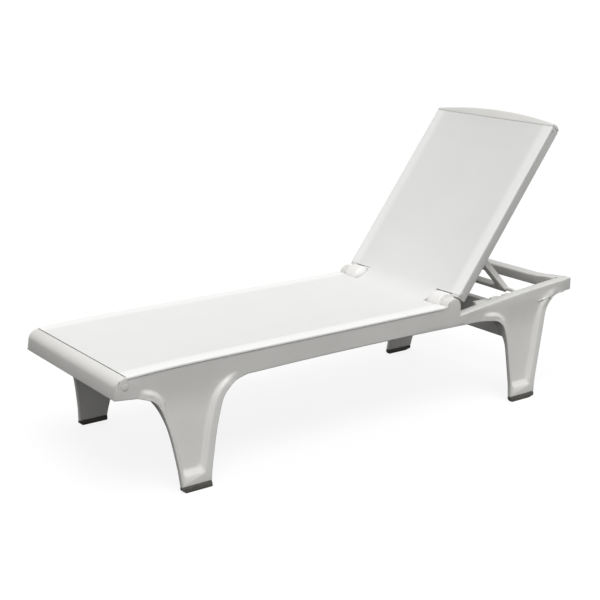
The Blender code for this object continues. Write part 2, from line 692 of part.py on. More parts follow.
def back_rails(backrest):
    x0, x1 = BACK_X - BACK_WIDTH, BACK_X
    rows = [(BACK_REAR, 0), (BACK_REAR + 0.002, 0), (BACK_FRONT - 0.0120, 0), (BACK_FRONT - 0.0112, 1),
            (BACK_FRONT - 0.0062, 1), (BACK_FRONT - 0.0054, 0), (BACK_FRONT, 0)]
    stations = [(BACK_START, 0), (BACK_GROOVE_START, 0), (BACK_GROOVE_START + 0.001, 1),
                (BACK_SEAM - 0.012, 1), (BACK_SEAM - 0.011, 0), (BACK_SEAM - GAP, 0)]
    sections = []
    for along, cut in stations:
        section = [Vector((x1 - GROOVE_DEPTH * cut * groove, along, out)) for out, groove in rows]
        section += [Vector((x0, along, BACK_FRONT)), Vector((x0, along, BACK_REAR))]
        sections.append(section)
    mesh_data = bmesh.new()
    loft_into(mesh_data, sections)
    rail = keep("back_rail", mesh_data, MOULDED, backrest)
    lug = bmesh.new()
    radius = 0.0295
    outline = arc((0, 0), radius, 78, 318, 14)
    outline += [(0.070, -0.0220), (0.070, BACK_FRONT - 0.0008), (0.0300, BACK_FRONT - 0.0008)]
    local_prism(lug, outline, *LUG_X)
    apply_boolean(rail, lug, "UNION")
    cuts = bmesh.new()
    turned_into(cuts, [(0.25, BUSH_RADIUS + GAP), (0.272, BUSH_RADIUS + GAP)], Vector((0, 0, 0)), 16)
    pivot = stay_pivot_local()
    turned_into(cuts, [(0.25, STAY_BORE), (0.2755, STAY_BORE)], Vector((0, *pivot)), 12)
    apply_boolean(rail, cuts, "DIFFERENCE")
    pair("back_rail", rail)


def stay_pivot_local():
    angle = STAY_ARM_ANGLE - RECLINE
    return (STAY_ARM * math.cos(angle), STAY_ARM * math.sin(angle))


def back_top_bar(backrest):
    """Crowned bar over the tops of both rails."""
    sections = []
    for i in range(17):
        x = blend(-BACK_X, BACK_X, i / 16)
        end = blend(BACK_CROWN, BACK_END, (abs(x) / BACK_X) ** 2)
        front = BACK_FRONT + 0.0018
        outline = [(BACK_SEAM, BACK_REAR + 0.004), (BACK_SEAM, front), (end - 0.006, front),
                   (end - 0.0015, front - 0.004), (end, front - 0.012), (end, BACK_REAR + 0.012),
                   (end - 0.005, BACK_REAR + 0.003), (end - 0.009, BACK_REAR)]
        outline.append((BACK_SEAM + 0.004, BACK_REAR))
        sections.append([Vector((x, a, b)) for a, b in outline])
    mesh_data = bmesh.new()
    loft_into(mesh_data, sections)
    keep("back_top_bar", mesh_data, MOULDED, backrest)


def back_bottom_bar(backrest):
    """Channel bar that ties the rails just above the hinge."""
    x = BACK_X - BACK_WIDTH - GAP
    a0, a1, b0, b1 = 0.078, 0.108, -0.0280, -0.0080
    channel = [(a0, b0), (a0, b1), (a1, b1), (a1, b0), (a1 - BAR_WALL, b0), (a1 - BAR_WALL, b1 - BAR_WALL),
               (a0 + BAR_WALL, b1 - BAR_WALL), (a0 + BAR_WALL, b0)]
    mesh_data = bmesh.new()
    local_prism(mesh_data, channel, -x, x)
    keep("back_bottom_bar", mesh_data, MOULDED, backrest)


PIVOT_BOSS_X = (0.2190, BACK_X - BACK_WIDTH - GAP)
LEG_X = (0.1900, 0.2185)        # a leg of the stay
STAY_HALF = 0.0105              # half the stay's thickness
STAY_EYE = 0.0145               # round end of a leg
STAY_BAR = (0.0115, 0.0110)     # lower bar, beyond and before the pegs' line
STAY_BOW = (0.006, 0.008)
STAY_FILLET = 0.034
PEG_END = 0.2550
STAY_PIN = 0.0050
STAY_BORE = 0.0053


def stay_pivots(backrest):
    """A spacer boss on each back rail, and the pin that carries the stay."""
    centre = Vector((0, *stay_pivot_local()))
    boss = bmesh.new()
    ring = [(PIVOT_BOSS_X[0], STAY_BORE), (PIVOT_BOSS_X[0], STAY_EYE), (PIVOT_BOSS_X[1], STAY_EYE + 0.001),
            (PIVOT_BOSS_X[1], STAY_BORE)]
    rings = []
    for x, radius in ring:
        rings.append([boss.verts.new(centre + Vector((x, radius * math.cos(a), radius * math.sin(a))))
                      for a in (2 * math.pi * i / 16 for i in range(16))])
    for first, second in zip(rings, rings[1:] + rings[:1]):
        for i in range(16):
            j = (i + 1) % 16
            boss.faces.new((first[i], first[j], second[j], second[i]))
    pair("stay_pivot_boss", keep("stay_pivot_boss", boss, MOULDED, backrest))
    pin = bmesh.new()
    head = LEG_X[0] - GAP
    profile = [(head - 0.0030, STAY_PIN), (head - 0.0016, 0.0085), (head, 0.0085), (head, STAY_PIN),
               (0.2745, STAY_PIN), (0.2750, STAY_PIN - 0.001)]
    turned_into(pin, profile, centre, 12)
    pair("stay_pin", keep("stay_pin", pin, STEEL, backrest))


# ---------------------------------------------------------------- stay, in its own frame
def stay_frame(stay):
    """U-shaped stay: two legs, an arched lower bar and a peg at each end of it."""
    x0, x1 = LEG_X
    lower, upper = [], []
    for i in range(13):
        x = blend(x1 - 0.004, -x1 + 0.004, i / 12)
        lower.append((x, STAY_LENGTH + STAY_BAR[0] - STAY_BOW[0] * (1 - (x / x1) ** 2)))
    for i in range(1, 8):
        x = blend(-x0 + STAY_FILLET, x0 - STAY_FILLET, i / 8)
        upper.append((x, STAY_LENGTH - STAY_BAR[1] - STAY_BOW[1] * (1 - (x / x0) ** 2)))
    corner = (-x0 + STAY_FILLET, upper[0][1] - STAY_FILLET)
    left = [(-x0, 0.0)] + arc(corner, STAY_FILLET, 180, 90, 8)
    right = [(-x, s) for x, s in reversed(left)]
    side = STAY_LENGTH + STAY_BOW[0]
    outline = [(x1, 0.0), (x1, side)] + lower + [(-x1, side), (-x1, 0.0)] + left + upper + right
    mesh_data = bmesh.new()
    loft_into(mesh_data, [[Vector((x, s, n)) for x, s in outline] for n in (-STAY_HALF, STAY_HALF)])
    frame = keep("stay_frame", mesh_data, MOULDED, stay)
    ends = bmesh.new()
    for side in (-1, 1):
        turned_into(ends, [(side * x0, STAY_EYE), (side * x1, STAY_EYE)], Vector((0, 0, 0)), 20)
        turned_into(ends, [(side * (x1 - 0.004), PEG_RADIUS), (side * (PEG_END - 0.0015), PEG_RADIUS),
                           (side * PEG_END, PEG_RADIUS - 0.0015)], Vector((0, STAY_LENGTH, 0)), 12)
    apply_boolean(frame, ends, "UNION")
    holes = bmesh.new()
    for side in (-1, 1):
        turned_into(holes, [(side * (x0 - 0.01), STAY_BORE), (side * (x1 + 0.01), STAY_BORE)],
                    Vector((0, 0, 0)), 12)
    apply_boolean(frame, holes, "DIFFERENCE")


# ---------------------------------------------------------------- sling and its rods
NOTCH_X = 0.181                 # the sling is narrower between the hinge covers


def seat_sling():
    """Plain sheet on the rails, from the foot bar to the hinge."""
    stations = [0.0400, 0.08, 0.14, 0.20, 0.30, 0.75, GROOVE_S[1] - 0.0005, GROOVE_S[1], 1.2560]
    sections = []
    for s in stations:
        half = NOTCH_X if s >= GROOVE_S[1] else X_FACE
        z = seat_line(s) + GAP
        sections.append([world(s, z, -half), world(s, z, half), world(s, z + SLING, half),
                         world(s, z + SLING, -half)])
    mesh_data = bmesh.new()
    loft_into(mesh_data, sections)
    keep("seat_sling", mesh_data, FABRIC)


def back_sling(backrest):
    stations = [(0.0220, NOTCH_X), (0.0420, NOTCH_X), (0.0425, BACK_X), (BACK_SEAM - GAP, BACK_X)]
    sections = []
    for along, half in stations:
        low, high = BACK_FRONT + GAP, BACK_FRONT + GAP + SLING
        sections.append([Vector((-half, along, low)), Vector((half, along, low)),
                         Vector((half, along, high)), Vector((-half, along, high))])
    mesh_data = bmesh.new()
    loft_into(mesh_data, sections)
    keep("back_sling", mesh_data, FABRIC, backrest)


def edge_rods(backrest):
    """Rods that hold the sling's side hems in the grooves."""
    groove = 0.0087
    seat = bmesh.new()
    x = X_FACE - GROOVE_DEPTH + 0.0006 + KEDER_RADIUS
    sections = []
    for s in [s for s in rail_columns() if GROOVE_S[0] < s < GROOVE_S[1]]:
        ring = []
        for i in range(8):
            angle = 2 * math.pi * (i + 0.5) / 8
            z = seat_line(s) - groove + KEDER_RADIUS * math.sin(angle)
            ring.append(world(s, z, x + KEDER_RADIUS * math.cos(angle)))
        sections.append(ring)
    loft_into(seat, sections)
    pair("seat_edge_rod", keep("seat_edge_rod", seat, ROD))
    back = bmesh.new()
    x = BACK_X - GROOVE_DEPTH + 0.0006 + KEDER_RADIUS
    sections = []
    for along in (0.058, BACK_SEAM - 0.014):
        ring = []
        for i in range(8):
            angle = 2 * math.pi * (i + 0.5) / 8
            ring.append(Vector((x + KEDER_RADIUS * math.cos(angle), along,
                                BACK_FRONT - groove + KEDER_RADIUS * math.sin(angle))))
        sections.append(ring)
    loft_into(back, sections)
    pair("back_edge_rod", keep("back_edge_rod", back, ROD, backrest))


# ---------------------------------------------------------------- assembly
def holder(name, location, angle, parent=None):
    item = bpy.data.objects.new(name, None)
    bpy.context.collection.objects.link(item)
    item.parent = parent
    item.location = location
    item.rotation_euler = (angle, 0, 0)
    return item


def build():
    for item in list(bpy.data.objects):
        bpy.data.objects.remove(item)
    side_frame()
    foot_bar()
    seat_cross_bars()
    rear_cross_bar()
    leg_brace()
    screws()
    end_plugs()
    foot_pads()
    ratchet_racks()
    hinge_parts()
    seat_sling()

    backrest = holder("backrest_axis", world(*HINGE), RECLINE)
    bpy.context.view_layer.update()
    back_rails(backrest)
    hinge_bushes(backrest)
    back_top_bar(backrest)
    back_bottom_bar(backrest)
    stay_pivots(backrest)
    back_sling(backrest)
    edge_rods(backrest)

    stay = holder("stay_axis", (0, *stay_pivot_local()), -STAY_DROP - RECLINE, backrest)
    bpy.context.view_layer.update()
    stay_frame(stay)


build()
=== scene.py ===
import json
import math

import bmesh
import bpy
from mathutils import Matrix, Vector


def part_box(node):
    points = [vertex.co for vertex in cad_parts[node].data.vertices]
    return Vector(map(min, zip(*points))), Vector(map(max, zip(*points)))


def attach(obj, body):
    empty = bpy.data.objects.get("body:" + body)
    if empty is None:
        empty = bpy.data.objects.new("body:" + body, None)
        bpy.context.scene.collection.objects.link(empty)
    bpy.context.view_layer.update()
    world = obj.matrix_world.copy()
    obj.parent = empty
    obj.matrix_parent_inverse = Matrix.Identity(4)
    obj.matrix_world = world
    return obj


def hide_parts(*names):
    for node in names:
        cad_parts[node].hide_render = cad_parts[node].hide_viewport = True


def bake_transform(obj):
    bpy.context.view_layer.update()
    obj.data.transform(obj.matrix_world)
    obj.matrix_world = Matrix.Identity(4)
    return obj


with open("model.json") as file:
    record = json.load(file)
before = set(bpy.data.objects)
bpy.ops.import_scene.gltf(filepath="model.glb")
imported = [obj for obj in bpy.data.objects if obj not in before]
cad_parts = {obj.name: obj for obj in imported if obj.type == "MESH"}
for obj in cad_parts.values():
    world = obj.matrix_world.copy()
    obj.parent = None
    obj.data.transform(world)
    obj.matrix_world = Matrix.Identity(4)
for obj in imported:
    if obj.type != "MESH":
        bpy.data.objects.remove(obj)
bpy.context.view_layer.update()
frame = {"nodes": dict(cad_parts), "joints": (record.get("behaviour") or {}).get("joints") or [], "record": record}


# ---------------------------------------------------------------- viewpoint, floor and light
# The lounger is looked at from its right foot corner, a little above, with a long lens.
# A pale floor runs out of sight. The surroundings are bright, and one broad soft source stands
# overhead, leaning to the right side and a little to the foot end.
EYE = Vector((3.2694, -2.4136, 1.5180))
DOWN_TILT, TURN = math.radians(74.486), math.radians(54.354)
LENS, SENSOR = 75.254, 36.0
FLOOR_SIZE = 400.0
FAR_END = 1000.0                    # nothing beyond this distance is drawn
LIGHT_FROM = Vector((0.42, -0.13, 0.90))
LIGHT_STRENGTH, LIGHT_SPREAD = 1.64, math.radians(38)
FLOOR_SHADE, FLOOR_GLOW, FLOOR_BOUNCE, AMBIENT = 0.16, 0.86, 0.06, 0.60

camera = bpy.data.objects.new("camera", bpy.data.cameras.new("camera"))
bpy.context.scene.collection.objects.link(camera)
camera.location = EYE
camera.rotation_euler = (DOWN_TILT, 0.0, TURN)
camera.data.lens = LENS
camera.data.sensor_width = SENSOR
camera.data.clip_end = FAR_END
bpy.context.scene.camera = camera

scene = bpy.context.scene
scene.view_settings.view_transform = "Standard"
scene.view_settings.look = "None"


def node_material(name):
    """An empty node tree with its output, and the shader to build on."""
    made = bpy.data.materials.new(name)
    made.use_nodes = True
    nodes = made.node_tree.nodes
    nodes.clear()
    output = nodes.new("ShaderNodeOutputMaterial")
    return made, nodes, made.node_tree.links, output


def paper_white_floor():
    """Lit from below like a light table, with a faint shadow; it throws little light upwards."""
    made, nodes, links, output = node_material("paper_floor")
    shade = nodes.new("ShaderNodeBsdfDiffuse")
    shade.inputs["Color"].default_value = (FLOOR_SHADE, FLOOR_SHADE, FLOOR_SHADE, 1)
    glow = nodes.new("ShaderNodeEmission")
    glow.inputs["Color"].default_value = (1, 1, 1, 1)
    glow.inputs["Strength"].default_value = FLOOR_GLOW
    seen = nodes.new("ShaderNodeAddShader")
    links.new(shade.outputs[0], seen.inputs[0])
    links.new(glow.outputs[0], seen.inputs[1])
    bounced = nodes.new("ShaderNodeBsdfDiffuse")
    bounced.inputs["Color"].default_value = (FLOOR_BOUNCE, FLOOR_BOUNCE, FLOOR_BOUNCE, 1)
    choice = nodes.new("ShaderNodeMixShader")
    path = nodes.new("ShaderNodeLightPath")
    links.new(path.outputs["Is Camera Ray"], choice.inputs["Fac"])
    links.new(bounced.outputs[0], choice.inputs[1])
    links.new(seen.outputs[0], choice.inputs[2])
    links.new(choice.outputs[0], output.inputs["Surface"])
    return made


bpy.ops.mesh.primitive_plane_add(size=FLOOR_SIZE, location=(0, 0, 0))
floor = bpy.context.object
floor.name = "studio_floor"
floor.data.materials.append(paper_white_floor())

# the camera sees a white backdrop, and the weaker surroundings light the lounger
world = bpy.data.worlds.new("soft_studio")
world.use_nodes = True
nodes, links = world.node_tree.nodes, world.node_tree.links
ambient = nodes["Background"]
ambient.inputs["Color"].default_value = (1.0, 0.995, 0.985, 1)
ambient.inputs["Strength"].default_value = AMBIENT
backdrop = nodes.new("ShaderNodeBackground")
backdrop.inputs["Color"].default_value = (1, 1, 1, 1)
choice = nodes.new("ShaderNodeMixShader")
links.new(nodes.new("ShaderNodeLightPath").outputs["Is Camera Ray"], choice.inputs["Fac"])
links.new(ambient.outputs[0], choice.inputs[1])
links.new(backdrop.outputs[0], choice.inputs[2])
links.new(choice.outputs[0], nodes["World Output"].inputs["Surface"])
scene.world = world

overhead = bpy.data.objects.new("overhead", bpy.data.lights.new("overhead", "SUN"))
scene.collection.objects.link(overhead)
overhead.data.energy = LIGHT_STRENGTH
overhead.data.angle = LIGHT_SPREAD
overhead.rotation_euler = LIGHT_FROM.to_track_quat("Z", "Y").to_euler()


# ---------------------------------------------------------------- resin side frames
# Each side is one moulding: rail, two legs with a recessed panel, and the hinge ear.
# White polypropylene with a fine spark-eroded grain; its edges are rounded by the mould.
EDGE_ROUND = 0.0028
RESIN = (0.79, 0.785, 0.765)
DOUBLES = 0.00002                   # points closer than this are one
QUAD_FOLD, QUAD_SKEW = math.radians(20), math.radians(60)


def moulded_resin(name, colour, roughness=0.33):
    """Satin resin: faint mottling from the melt, a polish that varies, and a very fine grain."""
    made, nodes, links, output = node_material(name)
    shader = nodes.new("ShaderNodeBsdfPrincipled")
    place = nodes.new("ShaderNodeTexCoord")
    flow = nodes.new("ShaderNodeTexNoise")
    flow.inputs["Scale"].default_value = 7.0
    flow.inputs["Detail"].default_value = 4.0
    links.new(place.outputs["Object"], flow.inputs["Vector"])
    tone = nodes.new("ShaderNodeValToRGB")
    tone.color_ramp.elements[0].position = 0.35
    tone.color_ramp.elements[0].color = (*[c * 0.955 for c in colour], 1)
    tone.color_ramp.elements[1].position = 0.65
    tone.color_ramp.elements[1].color = (*colour, 1)
    links.new(flow.outputs["Fac"], tone.inputs["Fac"])
    links.new(tone.outputs["Color"], shader.inputs["Base Color"])
    polish = nodes.new("ShaderNodeTexNoise")
    polish.inputs["Scale"].default_value = 38.0
    polish.inputs["Detail"].default_value = 5.0
    links.new(place.outputs["Object"], polish.inputs["Vector"])
    spread = nodes.new("ShaderNodeMapRange")
    spread.inputs["To Min"].default_value = roughness - 0.05
    spread.inputs["To Max"].default_value = roughness + 0.07
    links.new(polish.outputs["Fac"], spread.inputs["Value"])
    links.new(spread.outputs["Result"], shader.inputs["Roughness"])
    grain = nodes.new("ShaderNodeTexNoise")
    grain.inputs["Scale"].default_value = 900.0
    grain.inputs["Detail"].default_value = 2.0
    links.new(place.outputs["Object"], grain.inputs["Vector"])
    bump = nodes.new("ShaderNodeBump")
    bump.inputs["Strength"].default_value = 0.10
    bump.inputs["Distance"].default_value = 0.0006
    links.new(grain.outputs["Fac"], bump.inputs["Height"])
    links.new(bump.outputs["Normal"], shader.inputs["Normal"])
    shader.inputs["IOR"].default_value = 1.49
    shader.inputs["Specular IOR Level"].default_value = 0.55
    links.new(shader.outputs["BSDF"], output.inputs["Surface"])
    return made


resin = moulded_resin("white_resin", RESIN)


def deselect_everything():
    for item in bpy.context.selected_objects:
        item.select_set(False)


def make_active(item):
    deselect_everything()
    item.select_set(True)
    bpy.context.view_layer.objects.active = item


def merged_copy(node, name):
    """A copy of a frame node as one clean skin: doubles merged, flat triangles joined to quads."""
    copy = bpy.data.objects.new(name, frame["nodes"][node].data.copy())
    scene.collection.objects.link(copy)
    copy.data.materials.clear()
    for _ in range(2):              # the second slot marks rounded edges until the finish goes on
        copy.data.materials.append(None)
    make_active(copy)
    if copy.data.has_custom_normals:
        bpy.ops.mesh.customdata_custom_splitnormals_clear()
    bpy.ops.object.mode_set(mode="EDIT")
    bpy.ops.mesh.select_all(action="SELECT")
    bpy.ops.mesh.remove_doubles(threshold=DOUBLES)
    bpy.ops.mesh.tris_convert_to_quads(face_threshold=QUAD_FOLD, shape_threshold=QUAD_SKEW)
    bpy.ops.object.mode_set(mode="OBJECT")
    return copy


def round_edges(item, width, chosen):
    """Bevel the edges that chosen(one end, other end, fold angle, change of |normal x|) picks."""
    make_active(item)
    bpy.ops.object.mode_set(mode="EDIT")
    bpy.ops.mesh.select_all(action="DESELECT")
    bpy.context.tool_settings.mesh_select_mode = (False, True, False)
    skin = bmesh.from_edit_mesh(item.data)
    for edge in skin.edges:
        if len(edge.link_faces) == 2:
            fold = edge.calc_face_angle(0.0)
            first, second = [abs(face.normal.x) for face in edge.link_faces]
            edge.select = chosen(edge.verts[0].co, edge.verts[1].co, fold, abs(first - second))
    bmesh.update_edit_mesh(item.data)
    bpy.ops.mesh.bevel(offset=width, segments=3, profile=0.5, affect="EDGES",
                       clamp_overlap=False, material=1)
    bpy.ops.object.mode_set(mode="OBJECT")


def finish_piece(item, material, body, node):
    """Smooth shading, finish and body; the frame node that the piece stands for is hidden."""
    make_active(item)
    bpy.ops.object.shade_smooth_by_angle(angle=math.radians(40))
    item.data.materials.clear()
    item.data.materials.append(material)
    for face in item.data.polygons:
        face.material_index = 0
    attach(item, body)
    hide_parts(node)


SHARP = math.radians(34)            # edges that fold more than this are rounded
SHORTEST = 0.0045                   # shorter ones belong to bores and grooves
RIM_SHORTEST = 0.0025               # and shorter ones on the side frame's rim stay sharp
SIDEWAYS = 0.45     # least x of an outer face's normal, and least change of x over a rim edge
HINGE_SLOT = ((0.310, 0.392), 0.3395, 0.274)    # y range, lowest z and widest x of the ear's slot
GROOVE = ((-0.83, 0.3195), 0.2870, (0.3615, 0.3765))    # y range, least x and z range
GROOVE_FALL, GROOVE_FALL_Y = 0.0012, -0.6   # the range ends lower where the rail falls to the foot
PLUG, PLUG_REACH = (-0.88075, 0.345), 0.014     # y and z of the end plug's bore, and its reach
FOOT_LIP = -0.91675                 # y of the foot lip, from which the outlines are measured
X_FACE, X_FOOT = 0.2944, 0.3445     # outer face of the rail, and of a leg at the floor
LEG_TOP = 0.302                     # the legs begin to lean out here
BEAD_HEIGHT, BEAD_FALL = 0.010, 0.013       # raised bead along a leg's edges, and its slope
BEAD_COVE, BEAD_FRONT, BEAD_REAR = 0.017, 0.0055, 0.0225    # its flat at the rail, front and rear
BEAD_START, BEAD_RISE = 0.45, 0.8   # where a rear bead begins, and the run of its rise, in spans
PANEL_LEAN, PANEL_BEND = 0.036, 0.25        # lean of the recessed panel, and where it eases in
TOE_TOP = 0.0640                    # the panel's recess ends here
FINE_TOP, FINE_FROM = 0.3435, 0.05  # the outer side is divided below this z, past this distance
FINE_STEP = 0.007                   # from the foot lip; shorter edges than this stay whole
LEG_OUTLINES = [
    ([(0.0745, 0.3020), (0.115, 0.2880), (0.138, 0.2610), (0.1530, 0.2180), (0.1680, 0.1550),
      (0.1812, 0.0640), (0.1825, 0.0460), (0.1845, 0.0183)],
     [(0.445, 0.3032), (0.386, 0.2860), (0.352, 0.2550), (0.3320, 0.2070), (0.3155, 0.1550),
      (0.2930, 0.0640), (0.2890, 0.0460), (0.2845, 0.0183)]),
    ([(1.400, 0.3008), (1.458, 0.2950), (1.492, 0.2700), (1.5045, 0.2200), (1.5085, 0.1550),
      (1.5110, 0.0640), (1.5105, 0.0460), (1.5085, 0.0183)],
     [(1.800, 0.3470), (1.739, 0.3360), (1.705, 0.2990), (1.6820, 0.2300), (1.6585, 0.1550),
      (1.6300, 0.0640), (1.6255, 0.0460), (1.6205, 0.0183)])]


def smooth_step(t):
    t = min(max(t, 0.0), 1.0)
    return t * t * (3 - 2 * t)


def along_outline(points, t):
    """Point at t (0 to the number of spans) on a smooth curve through the points."""
    i = min(int(t), len(points) - 2)
    u = t - i
    before, after = points[max(i - 1, 0)], points[min(i + 2, len(points) - 1)]
    return tuple(0.5 * (2 * b + (c - a) * u + (2 * a - 5 * b + 4 * c - d) * u ** 2
                        + (3 * b - a - 3 * c + d) * u ** 3)
                 for a, b, c, d in zip(before, points[i], points[i + 1], after))


def bead_share(s, z, curve, width, start=0.0):
    """1 on the bead along a leg's edge, falling to 0 beside it and at the edge's upper end."""
    nearest, place = 1.0, 0.0
    for i, (a, b) in enumerate(zip(curve, curve[1:])):
        run = (b[0] - a[0], b[1] - a[1])
        share = ((s - a[0]) * run[0] + (z - a[1]) * run[1]) / (run[0] ** 2 + run[1] ** 2)
        share = min(max(share, 0.0), 1.0)
        distance = math.hypot(s - a[0] - run[0] * share, z - a[1] - run[1] * share)
        if distance < nearest:
            nearest, place = distance, (i + share) / 4
    flat = BEAD_COVE + (width - BEAD_COVE) * smooth_step((place - 1) / 2)
    along = smooth_step((place - start) / BEAD_RISE)
    return along * (1 - smooth_step((nearest - flat) / BEAD_FALL))


CURVES = [[[along_outline(edge, i / 4) for i in range(4 * (len(edge) - 1) + 1)] for edge in pair]
          for pair in LEG_OUTLINES]


def side_face(s, z):
    """X of the outer face: flush with the rail, out along the beads, less on the leg's panel."""
    d = max(0.0, (LEG_TOP - z) / LEG_TOP)
    rim = (X_FOOT - X_FACE) * d + BEAD_HEIGHT * (1 - d)
    eased = d * d / (2 * PANEL_BEND) if d < PANEL_BEND else d - PANEL_BEND / 2
    panel = PANEL_LEAN * eased / (1 - PANEL_BEND / 2)
    weight = 0.0
    for front, rear in CURVES:
        if front[0][0] <= s <= rear[0][0]:
            weight = max(bead_share(s, z, front, BEAD_FRONT),
                         bead_share(s, z, rear, BEAD_REAR, BEAD_START))
    return X_FACE + panel + (rim - panel) * weight


def outer_leg_faces(skin):
    """Faces of the outer side between the toe and the groove, where the beads and panels are."""
    found = []
    for face in skin.faces:
        centre = face.calc_center_median()
        outward = face.normal.x * (1 if centre.x > 0 else -1)
        on_side = face.material_index == 0 and outward > SIDEWAYS and abs(centre.x) > X_FACE - 0.002
        if on_side and TOE_TOP - 0.02 < centre.z < FINE_TOP and centre.y > FOOT_LIP + FINE_FROM:
            found.append(face)
    return found


def smooth_leg_faces(item):
    """Divide the outer side finely and set every new point on the true face."""
    skin = bmesh.new()
    skin.from_mesh(item.data)
    for _ in range(2):
        edges = {edge for face in outer_leg_faces(skin) for edge in face.edges
                 if edge.calc_length() > FINE_STEP}
        bmesh.ops.subdivide_edges(skin, edges=list(edges), cuts=1, use_grid_fill=True)
        bmesh.ops.triangulate(skin, faces=outer_leg_faces(skin))
    moved = {vert for face in outer_leg_faces(skin) for vert in face.verts}
    for vert in moved:
        if vert.co.z > TOE_TOP + 0.001:
            sign = 1 if vert.co.x > 0 else -1
            vert.co.x = sign * side_face(vert.co.y - FOOT_LIP, vert.co.z)
    skin.to_mesh(item.data)
    skin.free()


def side_outline(a, b, fold, turn):
    """The visible outline of a side frame, without its hinge slot and the groove for the sling."""
    middle = (a + b) / 2
    reach = abs(middle.x)
    slot_y, slot_z, slot_x = HINGE_SLOT
    if slot_y[0] < middle.y < slot_y[1] and middle.z > slot_z and reach < slot_x:
        return False
    groove_y, groove_x, groove_z = GROOVE
    along = abs(a.y - b.y) > 4 * abs(a.z - b.z)
    if along and groove_y[0] < middle.y < groove_y[1] and reach > groove_x:
        if groove_z[0] < middle.z < groove_z[1] - GROOVE_FALL * (middle.y < GROOVE_FALL_Y):
            return False
    if math.hypot(middle.y - PLUG[0], middle.z - PLUG[1]) < PLUG_REACH:
        return False
    if reach < X_FACE - 0.0025 and (b - a).length < SHORTEST:
        return False
    return fold > SHARP and turn > SIDEWAYS and (b - a).length > RIM_SHORTEST


# the groove's lower lip: its depth below the rail's top, and how far it closes up to the hem
LIP_DEPTH, LIP_RISE = (0.0108, 0.0124), 0.0034
SEAT_TOP = 0.380                    # top of the side rails
NOSE_Y, FALL_RUN, FALL = -0.87775, 0.26, 0.0065     # the rails fall to the foot end


def seat_fall(y):
    """How far the seat drops to the foot end."""
    return FALL * max(0.0, 1 - (y - NOSE_Y) / FALL_RUN) ** 2


for side in ("right", "left"):
    panel = merged_copy(f"side_frame_{side}", f"resin_side_{side}")
    for vert in panel.data.vertices:
        below = SEAT_TOP - seat_fall(vert.co.y) - vert.co.z
        if LIP_DEPTH[0] < below < LIP_DEPTH[1] and GROOVE[0][0] < vert.co.y < GROOVE[0][1]:
            if abs(vert.co.x) > GROOVE[1] - 0.002:
                vert.co.z += LIP_RISE
    round_edges(panel, EDGE_ROUND, side_outline)
    smooth_leg_faces(panel)
    finish_piece(panel, resin, "base", f"side_frame_{side}")


# ---------------------------------------------------------------- other mouldings
# The foot bar, seat cross bars and brace are screwed to the side frames. The rear cross bar,
# racks, hinge covers and plugs sit against them, with no fixing shown. The backrest has its own
# bars, and the stay is one piece. All are white resin; the hinge covers are glossier, and paler
# with painted brightness that stands in for their highlights.
def plain_outline(a, b, fold, turn):
    return fold > SHARP and (b - a).length > SHORTEST


LUG_LENGTH, LUG_REACH = 0.075, 0.286        # of the hinge lug: up the rail, and widest x


def back_rail_outline(a, b, fold, turn):
    """Outline of a back rail, without the lug at its lower end."""
    middle = (a + b) / 2 - HINGE
    on_lug = middle.dot(UP) < LUG_LENGTH and abs(middle.x) < LUG_REACH
    return plain_outline(a, b, fold, turn) and not on_lug


# node, body it rides on, and width of its rounded edges
MOULDINGS = [("foot_bar", "base", 0.0016), ("rear_cross_bar", "base", 0.0040),
             ("seat_cross_bar_front", "base", 0.0010), ("seat_cross_bar_middle", "base", 0.0010),
             ("seat_cross_bar_rear", "base", 0.0010), ("head_leg_brace", "base", 0.0015),
             ("back_top_bar", "backrest", 0.0022), ("back_bottom_bar", "backrest", 0.0010),
             ("stay_frame", "stay", 0.0030)]
for side in ("right", "left"):
    MOULDINGS += [(f"ratchet_rack_{side}", "base", 0.0012), (f"hinge_cover_{side}", "base", 0.0012),
                  (f"end_plug_{side}", "base", 0.0), (f"back_rail_{side}", "backrest", 0.0022),
                  (f"stay_pivot_boss_{side}", "backrest", 0.0)]

RAIL_TOP = 0.0060                   # front of the back rails, square to the hinge plane
BACK_LIP_X = 0.284                  # the lip of their groove lies outside this x
RECLINE = math.radians(52.7)        # slope of the backrest above level
HINGE = Vector(frame["joints"][0]["pos_m"])
UP = Vector((0, math.cos(RECLINE), math.sin(RECLINE)))
OUT = Vector((0, -math.sin(RECLINE), math.cos(RECLINE)))
# the hinge covers' resin: glossier, and paler by painted brightness that stands in for their highlights
polished_painted_bright = moulded_resin("polished_resin_painted_bright", (0.90, 0.895, 0.88), 0.24)
for node, body, width in MOULDINGS:
    moulding = merged_copy(node, f"resin_{node}")
    if node.startswith("back_rail"):
        for vert in moulding.data.vertices:
            below = RAIL_TOP - (vert.co - HINGE).dot(OUT)
            if LIP_DEPTH[0] < below < LIP_DEPTH[1] and abs(vert.co.x) > BACK_LIP_X:
                vert.co += OUT * LIP_RISE
    if width:
        chosen = back_rail_outline if node.startswith("back_rail") else plain_outline
        round_edges(moulding, width, chosen)
    finish = polished_painted_bright if node.startswith("hinge_cover") else resin
    finish_piece(moulding, finish, body, node)


# ---------------------------------------------------------------- rubber shoes
# A dark rubber shoe is pressed on under each leg. Its edges are rounded, and dust has dulled it
# in patches.
SHOE_ROUND = 0.0022


